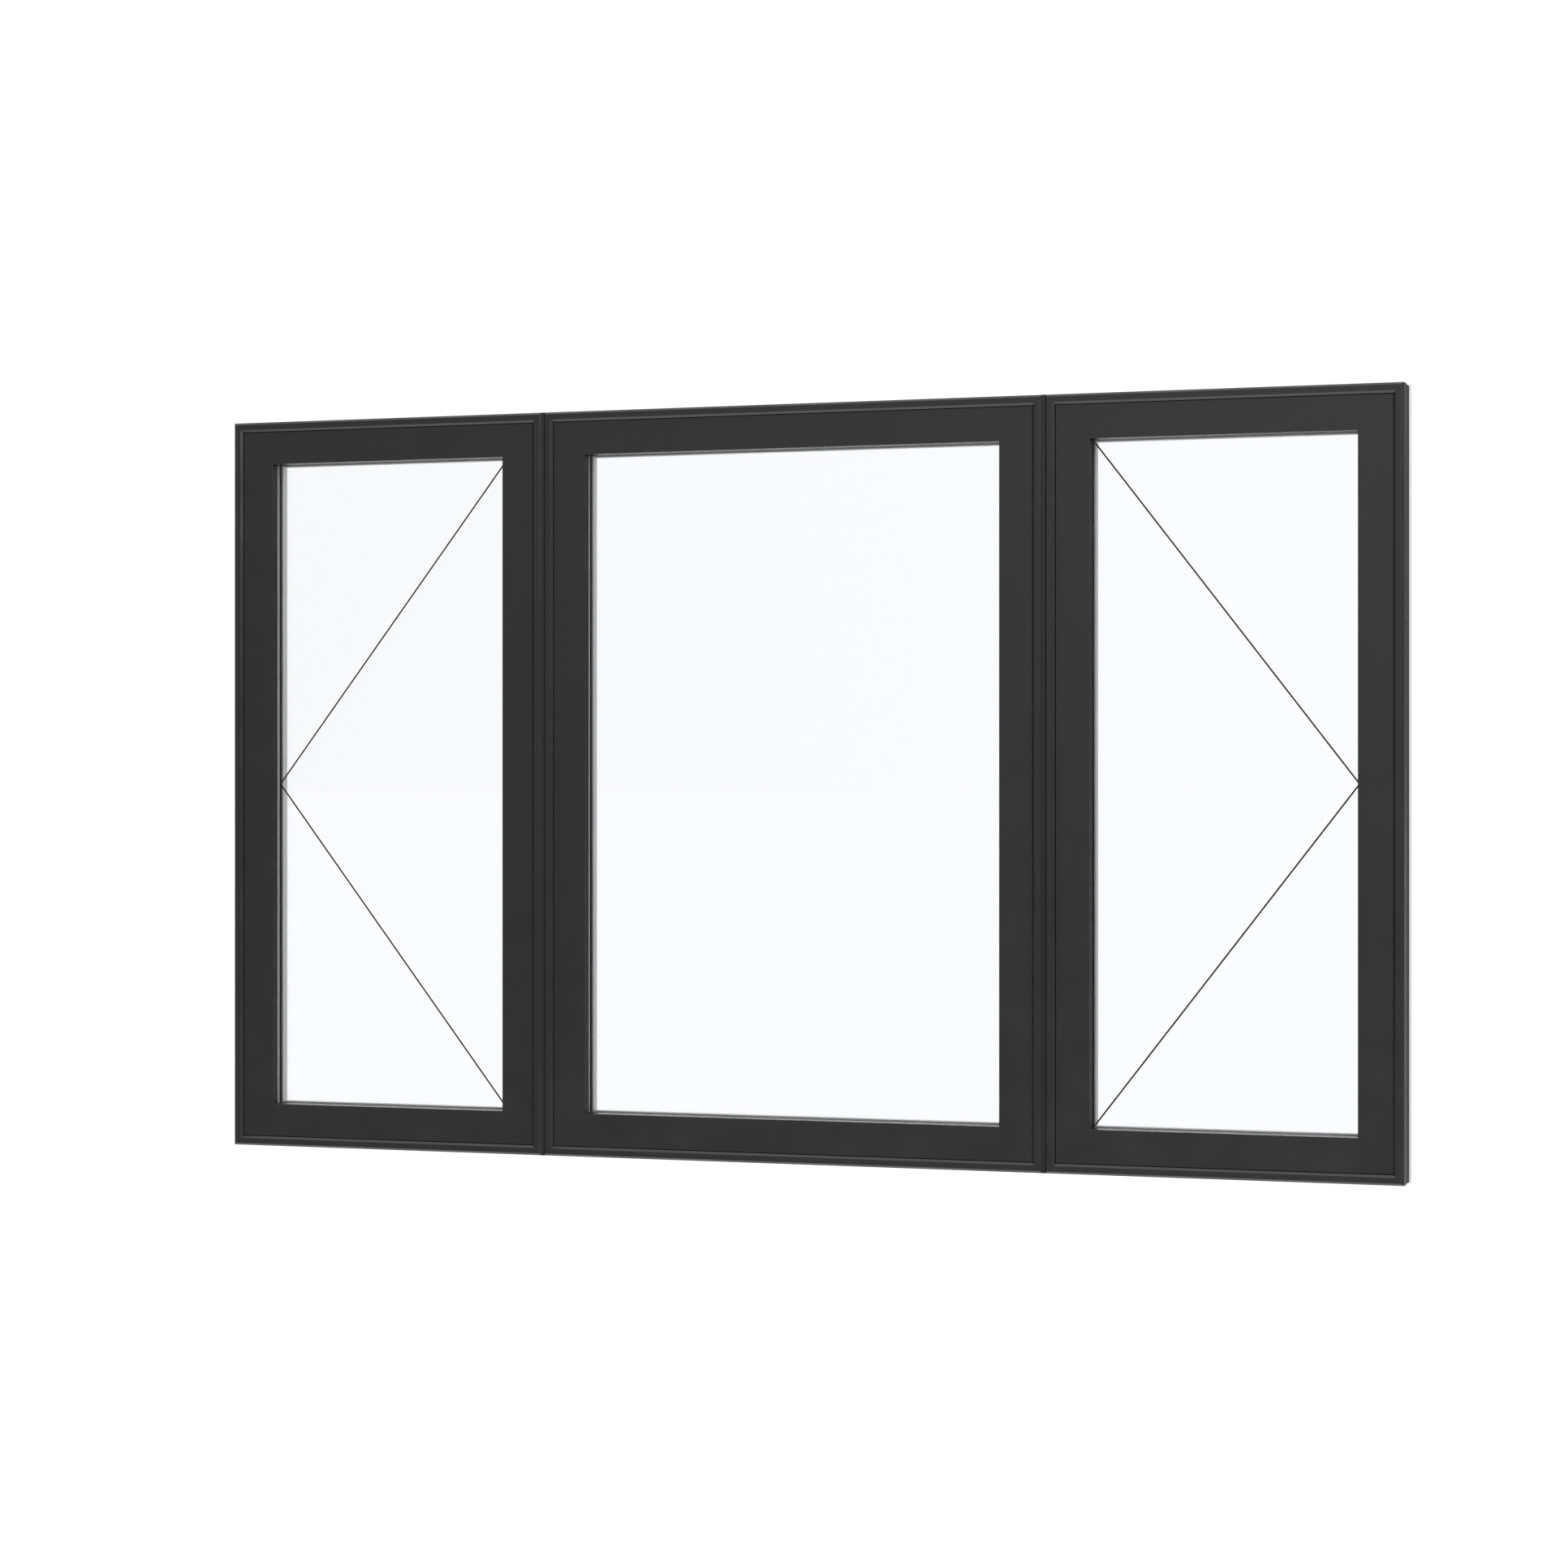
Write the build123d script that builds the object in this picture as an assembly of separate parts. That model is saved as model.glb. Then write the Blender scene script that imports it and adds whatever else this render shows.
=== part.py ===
from build123d import *
import math
import os

# Triple casement window: three framed lights joined side by side.
# Millimetres, +Z up, +X to the right as seen from outside, outside faces -Y.
# The origin is on the underside of the middle frame, halfway across the flat
# of its outer shell. In the sections below, "depth" runs inwards from the
# outside face and "inset" runs from a unit's outline towards its glass.

# Overall sizes
SIDE_WIDTH = 597.0
CENTRE_WIDTH = 897.0
HEIGHT = 1300.0
JOINT_GAP = 4.5

# Frame: outer shell, thermal break and inner lining, one behind the other
FRAME_FACE = 13.0
FRAME_CHAMFER = 3.6
FRAME_BEVEL = 3.8
SHELL_DEPTH = 30.0
BREAK_INSET = 0.5
BREAK_DEPTH = 32.0
LINING_DEPTH = 12.0
LINING_LAP = 2.0
LINING_FACE = 34.0
LINING_ROUND = 3.0
STOP_SETBACK = 6.0

# Sash: outer shell set back from the frame's face, white body, glazing bead
SASH_RECESS = 5.0
SASH_GAP = 0.4
SASH_CHAMFER = 1.0
SASH_FACE = 57.0
SASH_PLATE = 10.0
LIP_DEPTH = 13.0
LIP_WIDTH = 7.4
LIP_DRAFT = 1.8
SEAL_DEPTH = 2.0
BODY_CAVITY = 14.8
BODY_FLANGE = 16.0
REBATE_COVER = 17.4
BEAD_REACH = 0.8
BEAD_WALL = 16.8
BEAD_FOOT = 6.0
BEAD_ROUND = 2.0

# Double glazing
PANE = 4.0
CAVITY = 16.0
PANE_COVER = 12.4
SPACER_SETBACK = 4.5
SPACER_HEIGHT = 7.0
GASKET = 2.0
GASKET_SHOW = 0.3
TAPE = 1.2
TAPE_SETBACK = 2.0

# Lever handles on the inside of the two opening sashes
PLATE_WIDTH = 24.0
PLATE_HEIGHT = 124.0
PLATE_THICK = 8.0
NECK_RADIUS = 7.5
LEVER_REACH = 38.0
LEVER_WIDTH = 18.0
LEVER_TIP = 14.0
LEVER_THICK = 10.0
LEVER_LENGTH = 132.0

# Joints between the units
JOINT_SEAL_START = 3.0
COVER_WIDTH = 22.0
COVER_THICK = 2.5

MITRE_LINE = 0.2

# Depths and insets that follow from the sizes above
FRONT = -(FRAME_CHAMFER + SHELL_DEPTH) / 2
BREAK_END = SHELL_DEPTH + BREAK_DEPTH
FRAME_END = BREAK_END + LINING_DEPTH
STOP_START = BREAK_END + STOP_SETBACK
SASH_END = STOP_START - SEAL_DEPTH
FRAME_WALL = FRAME_FACE + FRAME_BEVEL
SASH_EDGE = FRAME_WALL + SASH_GAP
PLATE_END = SASH_RECESS + SASH_PLATE
LIP_END = SASH_RECESS + LIP_DEPTH
FACE_END = SASH_EDGE + SASH_CHAMFER + SASH_FACE
SIGHT = FACE_END + LIP_DRAFT
REBATE = SIGHT - REBATE_COVER
PANE_EDGE = SIGHT - PANE_COVER
OUTER_PANE = LIP_END + GASKET
INNER_PANE = OUTER_PANE + PANE + CAVITY
GLASS_END = INNER_PANE + PANE
BEAD_START = GLASS_END + TAPE
BODY_EDGE = SASH_EDGE + BODY_CAVITY
TOTAL_WIDTH = 2 * SIDE_WIDTH + CENTRE_WIDTH + 2 * JOINT_GAP

os.makedirs("parts", exist_ok=True)


def section(corners):
    """Closed outline in (depth, inset); a third number rounds that corner."""
    edges = []
    starts = []
    ends = []
    count = len(corners)
    for i in range(count):
        here = Vector(corners[i][0], corners[i][1])
        before = (Vector(*corners[i - 1][:2]) - here).normalized()
        after = (Vector(*corners[(i + 1) % count][:2]) - here).normalized()
        radius = corners[i][2] if len(corners[i]) > 2 else 0
        if radius == 0:
            starts.append(here)
            ends.append(here)
            continue
        half = math.radians(before.get_angle(after)) / 2
        reach = radius / math.tan(half)
        centre = here + (before + after).normalized() * (radius / math.sin(half))
        first = here + before * reach
        last = here + after * reach
        middle = centre + (here - centre).normalized() * radius
        edges.append(ThreePointArc(first, middle, last))
        starts.append(first)
        ends.append(last)
    for i in range(count):
        edges.append(Line(ends[i], starts[(i + 1) % count]))
    return make_face(edges)


def mitred_bar(outline, length, line):
    """Bar along +X with inset up, both ends cut at 45 degrees."""
    bar = Pos(length / 2, 0, 0) * extrude(Plane.YZ * outline, amount=length, both=True)
    near = outline.bounding_box().min.Y
    far = outline.bounding_box().max.Y
    start = line / 2
    end = length - line / 2
    ends = Polyline(
        (start + near, near), (end - near, near), (end - far, far), (start + far, far), close=True
    )
    block = extrude(Plane.XZ * make_face(ends), amount=500, both=True)
    return (bar & block).solid()


def four_bars(outline, left, width, line):
    """Sill, right jamb, head and left jamb of one unit, in place."""
    right = left + width
    across = mitred_bar(outline, width, line)
    upright = mitred_bar(outline, HEIGHT, line)
    return [
        Pos(left, FRONT, 0) * across,
        Pos(right, FRONT, 0) * Rot(0, -90, 0) * upright,
        Pos(right, FRONT, HEIGHT) * Rot(0, 180, 0) * across,
        Pos(left, FRONT, HEIGHT) * Rot(0, 90, 0) * upright,
    ]


def save(solids, name):
    """Write one node."""
    node = Compound(children=solids) if len(solids) > 1 else solids[0]
    node.label = name
    export_step(node, f"parts/{name}.step")


def save_bars(outline, left, width, name):
    """Four mitred members with a hairline at each corner."""
    save(four_bars(outline, left, width, MITRE_LINE), name)


def save_ring(outline, left, width, name):
    """One unbroken ring, such as a gasket."""
    bars = four_bars(outline, left, width, 0)
    ring = bars[0] + bars[1] + bars[2] + bars[3]
    save([ring.solid()], name)


def save_pane(left, width, start, name):
    """Flat glass pane behind the sight line."""
    tall = HEIGHT - 2 * PANE_EDGE
    pane = Box(width - 2 * PANE_EDGE, PANE, tall)
    save([Pos(left + width / 2, FRONT + start + PANE / 2, HEIGHT / 2) * pane], name)


# Sections of the frame members
frame_shell = section([
    (0, FRAME_CHAMFER, 0.8),
    (0, FRAME_FACE, 0.8),
    (FRAME_BEVEL, FRAME_WALL),
    (SHELL_DEPTH, FRAME_WALL),
    (SHELL_DEPTH, 0),
    (FRAME_CHAMFER, 0, 0.8),
])
frame_break = section([
    (SHELL_DEPTH, BREAK_INSET),
    (SHELL_DEPTH, FRAME_WALL),
    (BREAK_END, FRAME_WALL),
    (BREAK_END, BREAK_INSET),
])
frame_lining = section([
    (BREAK_END, -LINING_LAP),
    (BREAK_END, FRAME_WALL),
    (STOP_START, FRAME_WALL),
    (STOP_START, LINING_FACE, 1.0),
    (FRAME_END, LINING_FACE, LINING_ROUND),
    (FRAME_END, -LINING_LAP, 1.0),
])

# Sections of the sash members
sash_shell = section([
    (SASH_RECESS + SASH_CHAMFER, SASH_EDGE),
    (PLATE_END, SASH_EDGE),
    (PLATE_END, SIGHT - LIP_WIDTH),
    (LIP_END, SIGHT - LIP_WIDTH),
    (LIP_END, SIGHT),
    (SASH_RECESS, FACE_END, 0.8),
    (SASH_RECESS, SASH_EDGE + SASH_CHAMFER),
])
sash_body = section([
    (PLATE_END, BODY_EDGE),
    (PLATE_END, REBATE),
    (SASH_END, REBATE),
    (SASH_END, SASH_EDGE + SEAL_DEPTH),
    (SASH_END - BODY_FLANGE, SASH_EDGE + SEAL_DEPTH),
    (SASH_END - BODY_FLANGE, BODY_EDGE),
])
glazing_bead = section([
    (BEAD_START, REBATE),
    (BEAD_START, SIGHT + BEAD_REACH, 0.6),
    (BEAD_START + BEAD_WALL, SIGHT + BEAD_REACH, BEAD_ROUND),
    (SASH_END, REBATE + BEAD_FOOT, BEAD_ROUND),
    (SASH_END, REBATE),
])

# Sections of the glazing and its seals
spacer_high = SIGHT - SPACER_SETBACK
spacer = section([
    (OUTER_PANE + PANE, spacer_high - SPACER_HEIGHT),
    (OUTER_PANE + PANE, spacer_high, 0.5),
    (INNER_PANE, spacer_high, 0.5),
    (INNER_PANE, spacer_high - SPACER_HEIGHT),
])
outer_gasket = section([
    (LIP_END, SIGHT - LIP_WIDTH),
    (LIP_END, SIGHT + GASKET_SHOW, 0.5),
    (OUTER_PANE, SIGHT + GASKET_SHOW),
    (OUTER_PANE, SIGHT - LIP_WIDTH),
])
inner_gasket = section([
    (GLASS_END, SIGHT - LIP_WIDTH),
    (GLASS_END, SIGHT - TAPE_SETBACK),
    (BEAD_START, SIGHT - TAPE_SETBACK),
    (BEAD_START, SIGHT - LIP_WIDTH),
])
seal_low = SASH_EDGE + 3 * SEAL_DEPTH
weather_seal = section([
    (SASH_END, seal_low),
    (SASH_END, seal_low + 3 * SEAL_DEPTH),
    (STOP_START, seal_low + 3 * SEAL_DEPTH),
    (STOP_START, seal_low),
])

# The three units, from left to right as seen from outside
left_edge = -TOTAL_WIDTH / 2
centre_edge = -CENTRE_WIDTH / 2
right_edge = CENTRE_WIDTH / 2 + JOINT_GAP
units = [
    ("left", left_edge, SIDE_WIDTH),
    ("centre", centre_edge, CENTRE_WIDTH),
    ("right", right_edge, SIDE_WIDTH),
]
for unit, edge, width in units:
    save_bars(frame_shell, edge, width, f"{unit}_frame_shell")
    save_bars(frame_break, edge, width, f"{unit}_frame_break")
    save_bars(frame_lining, edge, width, f"{unit}_frame_lining")
    save_bars(sash_shell, edge, width, f"{unit}_sash_shell")
    save_bars(sash_body, edge, width, f"{unit}_sash_body")
    save_bars(glazing_bead, edge, width, f"{unit}_glazing_beads")
    save_pane(edge, width, OUTER_PANE, f"{unit}_outer_pane")
    save_pane(edge, width, INNER_PANE, f"{unit}_inner_pane")
    save_ring(spacer, edge, width, f"{unit}_spacer")
    save_ring(outer_gasket, edge, width, f"{unit}_outer_gasket")
    save_ring(inner_gasket, edge, width, f"{unit}_inner_gasket")
    save_ring(weather_seal, edge, width, f"{unit}_weather_seal")

# Dark strip in each joint between two units and white cover over it inside
seal_deep = SHELL_DEPTH - JOINT_SEAL_START
cover_tall = HEIGHT + 2 * LINING_LAP
for unit, edge in [("left", centre_edge - JOINT_GAP), ("right", right_edge - JOINT_GAP)]:
    middle = edge + JOINT_GAP / 2
    seal = Box(JOINT_GAP, seal_deep, HEIGHT)
    seal_at = FRONT + JOINT_SEAL_START + seal_deep / 2
    save([Pos(middle, seal_at, HEIGHT / 2) * seal], f"{unit}_joint_seal")
    cover = Box(COVER_WIDTH, COVER_THICK, cover_tall)
    cover_edges = cover.faces().sort_by(Axis.Y)[-1].edges().filter_by(Axis.Z)
    cover = chamfer(cover_edges, COVER_THICK * 0.4)
    cover_at = FRONT + FRAME_END + COVER_THICK / 2
    save([(Pos(middle, cover_at, HEIGHT / 2) * cover).solid()], f"{unit}_joint_cover")

# Lever handles, on the stile beside the middle unit, lever hanging down
handle_inset = (LINING_FACE + REBATE) / 2
face_y = FRONT + SASH_END
handles = [
    ("left", left_edge + SIDE_WIDTH - handle_inset),
    ("right", right_edge + handle_inset),
]
plate_outline = RectangleRounded(PLATE_WIDTH, PLATE_HEIGHT, PLATE_WIDTH * 0.48)
plate = extrude(Plane.XZ * plate_outline, amount=-PLATE_THICK)
plate = chamfer(plate.faces().sort_by(Axis.Y)[-1].edges(), PLATE_THICK * 0.25)
neck_long = LEVER_REACH - PLATE_THICK - LEVER_THICK / 2
neck = extrude(Plane.XZ * Circle(NECK_RADIUS), amount=-neck_long)
lever_drop = LEVER_LENGTH - (LEVER_WIDTH + LEVER_TIP) / 2
lever_top = Circle(LEVER_WIDTH / 2)
lever_foot = Pos(0, -lever_drop) * Circle(LEVER_TIP / 2)
lever_outline = make_hull(lever_top.edges() + lever_foot.edges())
lever_bar = extrude(Plane.XZ * lever_outline, amount=-LEVER_THICK)
lever_bar = chamfer(lever_bar.edges().filter_by(Axis.Y, reverse=True), LEVER_THICK * 0.22)
lever = neck + Pos(0, neck_long - LEVER_THICK / 2, 0) * lever_bar
lever_rise = PLATE_HEIGHT * 0.18
for unit, at in handles:
    plate_place = Pos(at, face_y, HEIGHT / 2)
    save([(plate_place * plate).solid()], f"{unit}_handle_plate")
    lever_place = Pos(at, face_y + PLATE_THICK, HEIGHT / 2 + lever_rise)
    save([(lever_place * lever).solid()], f"{unit}_handle_lever")
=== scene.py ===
import math

import bpy
import numpy as np
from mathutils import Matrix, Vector


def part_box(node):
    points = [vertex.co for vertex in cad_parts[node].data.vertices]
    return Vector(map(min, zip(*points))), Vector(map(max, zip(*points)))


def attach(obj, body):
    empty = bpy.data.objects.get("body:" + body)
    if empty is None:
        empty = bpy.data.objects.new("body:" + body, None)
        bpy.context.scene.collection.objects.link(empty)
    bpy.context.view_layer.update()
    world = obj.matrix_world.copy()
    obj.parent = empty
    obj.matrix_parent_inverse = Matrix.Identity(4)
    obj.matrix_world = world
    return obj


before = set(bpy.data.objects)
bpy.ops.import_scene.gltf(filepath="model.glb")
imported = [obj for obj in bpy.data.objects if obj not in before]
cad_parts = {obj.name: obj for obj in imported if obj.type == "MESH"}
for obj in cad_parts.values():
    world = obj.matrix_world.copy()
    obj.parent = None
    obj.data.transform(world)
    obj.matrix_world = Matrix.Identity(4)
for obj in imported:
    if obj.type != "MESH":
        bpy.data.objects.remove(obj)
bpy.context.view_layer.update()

# Dark outer profiles.
# Aluminium extrusions, mitred at the corners and powder coated in a matt anthracite grey: the
# frame shells, fixed to the wall, the sash shells set back inside them and the joint strips.
UNITS = ("left", "centre", "right")
ANTHRACITE_DARK = (0.0150, 0.0157, 0.0168)
ANTHRACITE_LIGHT = (0.0196, 0.0203, 0.0216)


def start_material(name):
    """A new node material with its shader and Object coordinates."""
    material = bpy.data.materials.new(name)
    material.use_nodes = True
    nodes = material.node_tree.nodes
    shader = nodes["Principled BSDF"]
    place = nodes.new("ShaderNodeTexCoord").outputs["Object"]
    return material, nodes, material.node_tree.links, shader, place


def noise(nodes, links, place, scale, detail):
    """Noise of a given number of bumps per metre, from 0 to 1."""
    texture = nodes.new("ShaderNodeTexNoise")
    texture.inputs["Scale"].default_value = scale
    texture.inputs["Detail"].default_value = detail
    links.new(place, texture.inputs["Vector"])
    return texture.outputs["Fac"]


def between(nodes, links, value, low, high):
    """Stretches a value's middle half, 0.25 to 0.75, to run from low to high."""
    stretch = nodes.new("ShaderNodeMapRange")
    stretch.inputs["From Min"].default_value = 0.25
    stretch.inputs["From Max"].default_value = 0.75
    stretch.inputs["To Min"].default_value = low
    stretch.inputs["To Max"].default_value = high
    links.new(value, stretch.inputs["Value"])
    return stretch.outputs["Result"]


def tone(nodes, links, value, dark, light):
    """A colour between dark and light by a value from 0.25 to 0.75."""
    ramp = nodes.new("ShaderNodeValToRGB")
    ramp.color_ramp.elements[0].position = 0.25
    ramp.color_ramp.elements[0].color = (*dark, 1)
    ramp.color_ramp.elements[1].position = 0.75
    ramp.color_ramp.elements[1].color = (*light, 1)
    links.new(value, ramp.inputs["Fac"])
    return ramp.outputs["Color"]


def bump(nodes, links, shader, height, depth, strength):
    """Relief of a given depth in metres."""
    relief = nodes.new("ShaderNodeBump")
    relief.inputs["Distance"].default_value = depth
    relief.inputs["Strength"].default_value = strength
    links.new(height, relief.inputs["Height"])
    links.new(relief.outputs["Normal"], shader.inputs["Normal"])


def powder_coat(name, dark, light, rough, grain, specular):
    """Baked powder: an orange-peel relief, with colour and gloss that drift a little."""
    material, nodes, links, shader, place = start_material(name)
    speckle = noise(nodes, links, place, grain, 2)
    links.new(tone(nodes, links, speckle, dark, light), shader.inputs["Base Color"])
    drift = noise(nodes, links, place, 14, 3)
    gloss = between(nodes, links, drift, rough - 0.05, rough + 0.05)
    links.new(gloss, shader.inputs["Roughness"])
    shader.inputs["Specular IOR Level"].default_value = specular
    bump(nodes, links, shader, speckle, 0.00006, 0.35)
    return material


def dress(piece_names, material):
    """Puts a material on the nodes of these names in each unit."""
    for unit in UNITS:
        for piece in piece_names:
            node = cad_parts.get(f"{unit}_{piece}")
            if node is not None:
                node.data.materials.clear()
                node.data.materials.append(material)


anthracite = powder_coat(
    "anthracite_powder_coat", ANTHRACITE_DARK, ANTHRACITE_LIGHT, rough=0.25, grain=1400, specular=0.75
)
dress(("frame_shell", "sash_shell", "joint_seal"), anthracite)

# Thermal breaks.
# Extruded black polyamide bars that join the outer shell to the white lining and keep the
# cold out, half a millimetre inside the shell's outline.
POLYAMIDE_DARK = (0.018, 0.018, 0.019)
POLYAMIDE_LIGHT = (0.028, 0.028, 0.030)


def drawn_plastic(name, dark, light, rough):
    """Extruded plastic or rubber: matt, with a faint even grain."""
    material, nodes, links, shader, place = start_material(name)
    grain = noise(nodes, links, place, 900, 3)
    links.new(tone(nodes, links, grain, dark, light), shader.inputs["Base Color"])
    gloss = between(nodes, links, grain, rough - 0.08, rough + 0.08)
    links.new(gloss, shader.inputs["Roughness"])
    bump(nodes, links, shader, grain, 0.0001, 0.3)
    return material


polyamide = drawn_plastic("black_polyamide", POLYAMIDE_DARK, POLYAMIDE_LIGHT, rough=0.65)
dress(("frame_break",), polyamide)

# White inner profiles.
# The same construction on the room side in white: frame linings, sash bodies, the beads
# that clip in to hold the glass, and the covers over the joints between units.
WHITE_DARK = (0.84, 0.842, 0.842)
WHITE_LIGHT = (0.89, 0.891, 0.889)
white = powder_coat("white_powder_coat", WHITE_DARK, WHITE_LIGHT, rough=0.4, grain=1100, specular=0.5)
dress(("frame_lining", "sash_body", "glazing_beads", "joint_cover"), white)

# Gaskets and seals.
# Black rubber strips that press on both sides of the glass and close the sash against
# the stop of the frame's lining.
RUBBER_DARK = (0.012, 0.012, 0.013)
RUBBER_LIGHT = (0.022, 0.022, 0.024)
rubber = drawn_plastic("black_rubber", RUBBER_DARK, RUBBER_LIGHT, rough=0.68)
dress(("outer_gasket", "inner_gasket", "weather_seal"), rubber)

# Spacers.
# Bent aluminium bars that hold the two panes apart, with two rows of fine perforations that
# let the drying agent inside them reach the air between the panes.
HOLE_PITCH = 0.004
ROW_PITCH = 0.006
HOLE_LEVEL = 1.75
HOLE_COLOUR = (0.03, 0.03, 0.03, 1)
SPACER_DARK = (0.80, 0.805, 0.81)
SPACER_LIGHT = (0.88, 0.885, 0.89)


def feed(links, value, socket):
    """Sets a socket to a number, or links another socket to it."""
    if isinstance(value, float):
        socket.default_value = value
    else:
        links.new(value, socket)


def calc(nodes, links, operation, one, other=0.0):
    """One step of arithmetic on two numbers or sockets."""
    step = nodes.new("ShaderNodeMath")
    step.operation = operation
    feed(links, one, step.inputs[0])
    feed(links, other, step.inputs[1])
    return step.outputs[0]


def axes(nodes, links, vector):
    """The X, Y and Z of a vector."""
    split = nodes.new("ShaderNodeSeparateXYZ")
    links.new(vector, split.inputs[0])
    return split.outputs["X"], split.outputs["Y"], split.outputs["Z"]


def wave(nodes, links, value, pitch):
    """Cosine of a length, with one crest to each pitch."""
    turns = calc(nodes, links, "MULTIPLY", value, 2 * math.pi / pitch)
    return calc(nodes, links, "COSINE", turns)


def spacer_bar():
    """Bare metal that drifts in tone. The holes lie where a wave along the bar, which is X plus
    Z because one of them stays the same on each bar, and a wave across it both crest."""
    material, nodes, links, shader, place = start_material("spacer_aluminium")
    x, y, z = axes(nodes, links, place)
    along = wave(nodes, links, calc(nodes, links, "ADD", x, z), HOLE_PITCH)
    across = wave(nodes, links, y, ROW_PITCH)
    hole = calc(nodes, links, "GREATER_THAN", calc(nodes, links, "ADD", along, across), HOLE_LEVEL)
    drift = noise(nodes, links, place, 300, 2)
    pierced = nodes.new("ShaderNodeMixRGB")
    links.new(hole, pierced.inputs[0])
    links.new(tone(nodes, links, drift, SPACER_DARK, SPACER_LIGHT), pierced.inputs[1])
    pierced.inputs[2].default_value = HOLE_COLOUR
    links.new(pierced.outputs[0], shader.inputs["Base Color"])
    links.new(between(nodes, links, drift, 0.35, 0.5), shader.inputs["Roughness"])
    shader.inputs["Metallic"].default_value = 0.3
    return material


dress(("spacer",), spacer_bar())

# Glass.
# Two clear float panes to each unit, set in the sash between gaskets and held by the beads.
# Each face adds to a faint cool tint.
GLASS_TINT = (0.983, 0.989, 0.997, 1)
glass, _, _, glass_shader, _ = start_material("float_glass")
glass_shader.inputs["Base Color"].default_value = GLASS_TINT
glass_shader.inputs["Roughness"].default_value = 0.0
glass_shader.inputs["IOR"].default_value = 1.5
glass_shader.inputs["Transmission Weight"].default_value = 1.0
dress(("outer_pane", "inner_pane"), glass)

# Opening marks.
# Two thin dark lines on the cavity face of the outer pane of each side light, meeting at the
# hinge side, which show that it is hung there and opens outwards.
MARK_WIDTH = 0.0028
MARK_THICK = 0.0001
MARK_LEVEL = 0.0782
MARK_INSETS = {"left": (0.0820, 0.0730), "right": (0.0750, 0.0788)}
INK_DARK = (0.006, 0.006, 0.007)
INK_LIGHT = (0.012, 0.012, 0.013)


def band_along(path, width, thick):
    """A flat band along a path in the X-Z plane. At each point the band's edges lie half its
    width to either side along the bisector of the two runs, so that corners are mitred, and
    the four edges are the ends of a rectangle of the band's width and thickness."""
    path = np.asarray(path, float)
    runs = np.diff(path, axis=0)
    runs /= np.linalg.norm(runs, axis=1)[:, None]
    before = np.vstack([runs[:1], runs])
    after = np.vstack([runs, runs[-1:]])
    side_before = np.stack([-before[:, 2], 0 * before[:, 0], before[:, 0]], axis=1)
    side_after = np.stack([-after[:, 2], 0 * after[:, 0], after[:, 0]], axis=1)
    bisector = side_before + side_after
    bisector /= np.linalg.norm(bisector, axis=1)[:, None]
    reach = width / 2 / np.sum(bisector * side_after, axis=1)[:, None]
    front = np.array([0, -thick / 2, 0])
    return np.stack([
        path + bisector * reach + front,
        path + bisector * reach - front,
        path - bisector * reach - front,
        path - bisector * reach + front,
    ], axis=1)


def rings_to_mesh(name, rings):
    """Closed tube from rings of points, with both ends capped."""
    count, around = rings.shape[:2]
    ring = np.arange(count - 1)[:, None] * around
    step = np.arange(around)[None, :]
    turn = (step + 1) % around
    corners = [ring + step, ring + turn, ring + around + turn, ring + around + step]
    faces = np.stack(corners, axis=-1).reshape(-1, 4).tolist()
    first = list(range(around))[::-1]
    last = list(range((count - 1) * around, count * around))
    mesh = bpy.data.meshes.new(name)
    mesh.from_pydata(rings.reshape(-1, 3).tolist(), [], faces + [first, last])
    mesh.validate()
    piece = bpy.data.objects.new(name, mesh)
    bpy.context.scene.collection.objects.link(piece)
    return piece


ink = drawn_plastic("mark_ink", INK_DARK, INK_LIGHT, rough=0.6)
for unit, (apex_inset, foot_inset) in MARK_INSETS.items():
    low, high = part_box(f"{unit}_frame_shell")
    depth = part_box(f"{unit}_outer_pane")[1].y + 0.6 * MARK_THICK
    if unit == "left":
        apex, foot = low.x + apex_inset, high.x - foot_inset
    else:
        apex, foot = high.x - apex_inset, low.x + foot_inset
    path = [
        (foot, depth, high.z - MARK_LEVEL),
        (apex, depth, (low.z + high.z) / 2),
        (foot, depth, low.z + MARK_LEVEL),
    ]
    mark = rings_to_mesh(f"{unit}_opening_mark", band_along(path, MARK_WIDTH, MARK_THICK))
    mark.data.materials.append(ink)
    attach(mark, "root")

# Handles.
# Cast lever handles in satin anodised aluminium, screwed to the room side of the two
# casements.
HANDLE_DARK = (0.60, 0.60, 0.605)
HANDLE_LIGHT = (0.68, 0.68, 0.685)


def satin_metal():
    """Anodised aluminium with a fine blasted grain."""
    material, nodes, links, shader, place = start_material("satin_aluminium")
    grain = noise(nodes, links, place, 2600, 2)
    links.new(tone(nodes, links, grain, HANDLE_DARK, HANDLE_LIGHT), shader.inputs["Base Color"])
    links.new(between(nodes, links, grain, 0.3, 0.42), shader.inputs["Roughness"])
    shader.inputs["Metallic"].default_value = 1.0
    bump(nodes, links, shader, grain, 0.00003, 0.25)
    return material


dress(("handle_plate", "handle_lever"), satin_metal())

# Studio.
# A plain pale floor below sill height, a pale surround and one large soft lamp to the upper
# right. What is mirrored differs from what is seen: a studio with paler and darker screens.
FLOOR_BELOW = 0.9
FLOOR_SIZE = 1200
FLOOR_PAINT = 0.8
FLOOR_MIRRORED = 0.2
FLOOR_SEEN = 0.16
FLOOR_GLOW = 0.97
BACKDROP_SEEN = 1.1
CEILING_MIRRORED = 1.1


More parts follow.
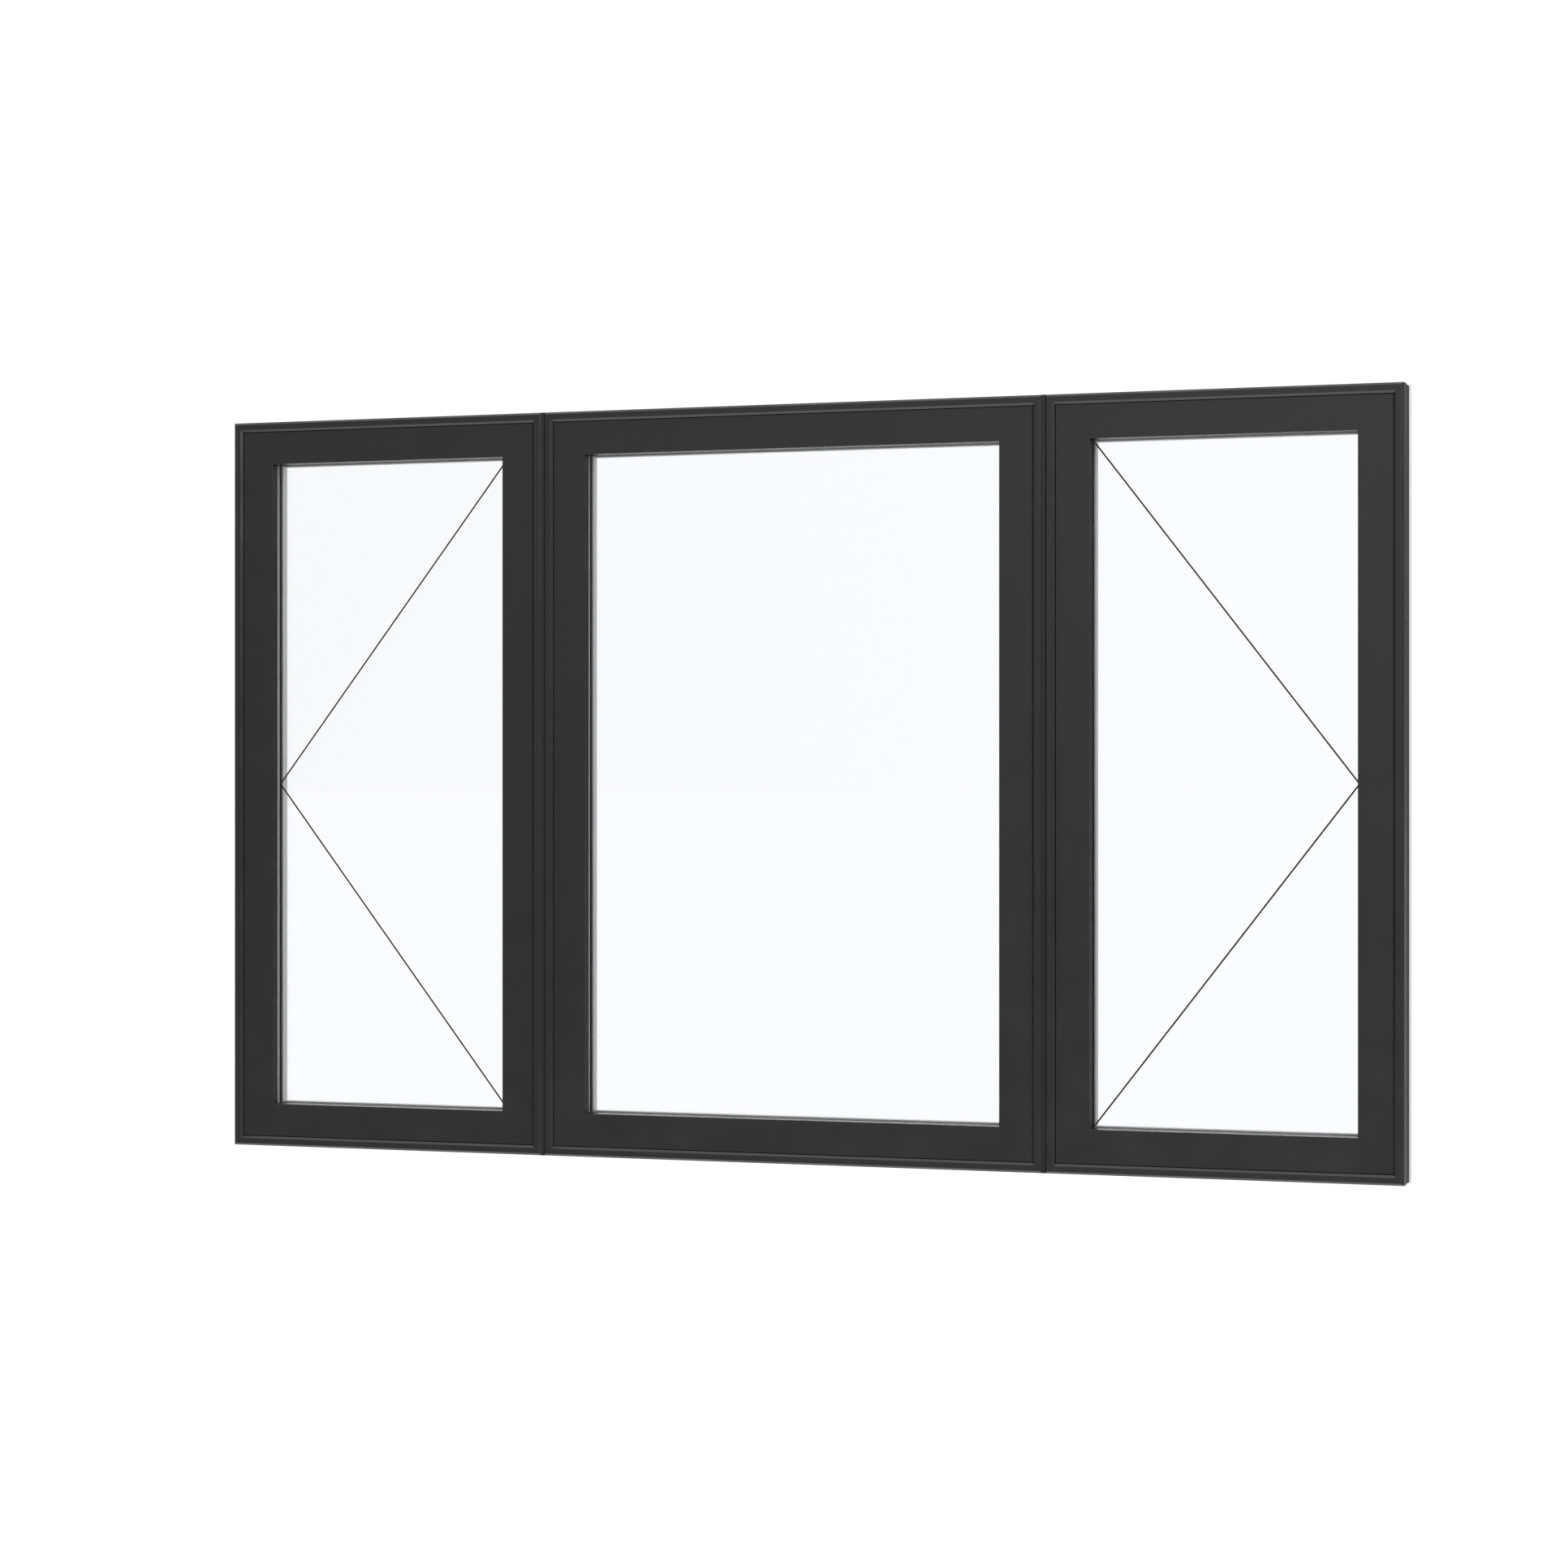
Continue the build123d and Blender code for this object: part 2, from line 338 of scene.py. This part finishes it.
def seen_directly(nodes, links):
    """1 for what the camera sees, straight or through clear glass, and 0 for any other ray."""
    path = nodes.new("ShaderNodeLightPath").outputs
    seen = calc(nodes, links, "MAXIMUM", path["Is Camera Ray"], path["Is Transmission Ray"])
    seen = calc(nodes, links, "SUBTRACT", seen, path["Glossy Depth"])
    seen = calc(nodes, links, "SUBTRACT", seen, path["Diffuse Depth"])
    return calc(nodes, links, "MAXIMUM", seen, 0.0)


def mirrored_once(nodes, links):
    """1 for rays that left a glossy surface, also after clear glass, and 0 for the rest."""
    path = nodes.new("ShaderNodeLightPath").outputs
    return calc(nodes, links, "GREATER_THAN", path["Glossy Depth"], 0.5)


def choose(nodes, links, switch, off, on):
    """One number or socket where the switch is 0, the other where it is 1."""
    mix = nodes.new("ShaderNodeMix")
    links.new(switch, mix.inputs[0])
    feed(links, off, mix.inputs[2])
    feed(links, on, mix.inputs[3])
    return mix.outputs[0]


def fade(nodes, links, value, start, end, first, last):
    """Runs smoothly from first to last as a value goes from start to end."""
    ease = nodes.new("ShaderNodeMapRange")
    ease.interpolation_type = "SMOOTHSTEP"
    ease.inputs["From Min"].default_value = start
    ease.inputs["From Max"].default_value = end
    ease.inputs["To Min"].default_value = first
    ease.inputs["To Max"].default_value = last
    links.new(value, ease.inputs["Value"])
    return ease.outputs["Result"]


def flanks(nodes, links, x, z):
    """Pale screens far to the left and right, above and below eye level, for glass to mirror."""
    aside = fade(nodes, links, calc(nodes, links, "ABSOLUTE", x), 0.6, 0.8, 0.0, 0.9)
    sloping = fade(nodes, links, calc(nodes, links, "ABSOLUTE", z), 0.11, 0.2, 0.0, 0.9)
    return calc(nodes, links, "MULTIPLY", aside, sloping)


def vector_step(nodes, links, operation, vector):
    """Length or direction of a vector."""
    step = nodes.new("ShaderNodeVectorMath")
    step.operation = operation
    links.new(vector, step.inputs[0])
    return step.outputs["Value" if operation == "LENGTH" else "Vector"]


def pale_floor():
    """White floor that keeps the shadow: most of the brightness that is seen is its own. What
    glossy surfaces mirror of it is bright below the window, to its sides and on the room side."""
    material, nodes, links, shader, place = start_material("pale_floor")
    seen = seen_directly(nodes, links)
    mirrored = mirrored_once(nodes, links)
    far = vector_step(nodes, links, "LENGTH", place)
    x, y, z = axes(nodes, links, vector_step(nodes, links, "NORMALIZE", place))
    below = fade(nodes, links, far, 1.2, 4.5, 1.2, 0.0)
    beside = flanks(nodes, links, x, z)
    inside = fade(nodes, links, y, 0.3, 0.7, 0.0, 1.0)
    indoors = choose(nodes, links, inside, 0.0, fade(nodes, links, x, -0.1, 0.1, 0.7, 0.1))
    bright = calc(nodes, links, "MAXIMUM", calc(nodes, links, "MAXIMUM", below, beside), indoors)
    paint = choose(nodes, links, mirrored, FLOOR_PAINT, FLOOR_MIRRORED)
    links.new(choose(nodes, links, seen, paint, FLOOR_SEEN), shader.inputs["Base Color"])
    glow = choose(nodes, links, mirrored, 0.0, bright)
    links.new(choose(nodes, links, seen, glow, FLOOR_GLOW), shader.inputs["Emission Strength"])
    shader.inputs["Emission Color"].default_value = (1, 1, 1, 1)
    shader.inputs["Roughness"].default_value = 0.9
    shader.inputs["Specular IOR Level"].default_value = 0.0
    return material


def surround():
    """White backdrop where it is seen. Other light comes more from above than from the sides,
    and glossy surfaces mirror a dim horizon, a pale sky on the room side and a pale ceiling."""
    world = bpy.data.worlds.new("studio")
    world.use_nodes = True
    nodes = world.node_tree.nodes
    links = world.node_tree.links
    direction = nodes.new("ShaderNodeTexCoord").outputs["Generated"]
    x, y, z = axes(nodes, links, direction)
    height = calc(nodes, links, "ABSOLUTE", z)
    ahead = fade(nodes, links, calc(nodes, links, "ABSOLUTE", x), 0.1, 0.55, 0.42, 0.2)
    indoors = fade(nodes, links, x, -0.1, 0.1, 0.4, 0.14)
    horizon = choose(nodes, links, fade(nodes, links, y, -0.1, 0.2, 0.0, 1.0), ahead, indoors)
    behind = fade(nodes, links, y, 0.3, 0.9, 0.0, 1.0)
    rising = fade(nodes, links, z, 0.08, 0.3, 0.0, 0.9)
    sky = calc(nodes, links, "ADD", calc(nodes, links, "MULTIPLY", behind, rising), horizon)
    around = calc(nodes, links, "MAXIMUM", sky, flanks(nodes, links, x, z))
    overhead = fade(nodes, links, height, 0.3, 0.95, 0.0, 1.0)
    mirrored = choose(nodes, links, overhead, around, CEILING_MIRRORED)
    room = fade(nodes, links, height, 0.0, 0.95, 0.65, 1.14)
    level = choose(nodes, links, mirrored_once(nodes, links), room, mirrored)
    shown = choose(nodes, links, seen_directly(nodes, links), level, BACKDROP_SEEN)
    backdrop = nodes["Background"]
    backdrop.inputs["Color"].default_value = (1, 1, 1, 1)
    links.new(shown, backdrop.inputs["Strength"])
    return world


def soft_lamp(name, place, aim, size, power):
    """Square area lamp that points from place to aim."""
    lamp = bpy.data.lights.new(name, "AREA")
    lamp.size = size
    lamp.energy = power
    holder = bpy.data.objects.new(name, lamp)
    holder.location = place
    holder.rotation_euler = (Vector(aim) - Vector(place)).to_track_quat("-Z", "Y").to_euler()
    holder.visible_camera = False
    bpy.context.scene.collection.objects.link(holder)


half = FLOOR_SIZE / 2
corners = [(-half, -half), (half, -half), (half, half), (-half, half)]
floor_mesh = bpy.data.meshes.new("floor")
floor_mesh.from_pydata([(x, y, -FLOOR_BELOW) for x, y in corners], [], [(0, 1, 2, 3)])
floor = bpy.data.objects.new("floor", floor_mesh)
floor.data.materials.append(pale_floor())
bpy.context.scene.collection.objects.link(floor)
bpy.context.scene.world = surround()
soft_lamp("key", place=(2.8, -3.2, 2.9), aim=(0.3, 0, 0.7), size=2.0, power=85)

# Camera.
# Level with the middle of the window and a little to its right, outside.
VIEW_DISTANCE = 5.7355
VIEW_ASIDE = 1.9014
VIEW_TURN = math.radians(18.386)
FIELD_OF_VIEW = math.radians(25)
low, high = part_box("centre_frame_shell")
camera = bpy.data.objects.new("camera", bpy.data.cameras.new("camera"))
camera.data.sensor_width = 36
camera.data.lens = camera.data.sensor_width / 2 / math.tan(FIELD_OF_VIEW / 2)
camera.data.clip_end = 2000
camera.location = (VIEW_ASIDE, low.y - VIEW_DISTANCE, (low.z + high.z) / 2)
camera.rotation_euler = (math.pi / 2, 0, VIEW_TURN)
bpy.context.scene.collection.objects.link(camera)
bpy.context.scene.camera = camera
bpy.context.scene.view_settings.view_transform = "Standard"
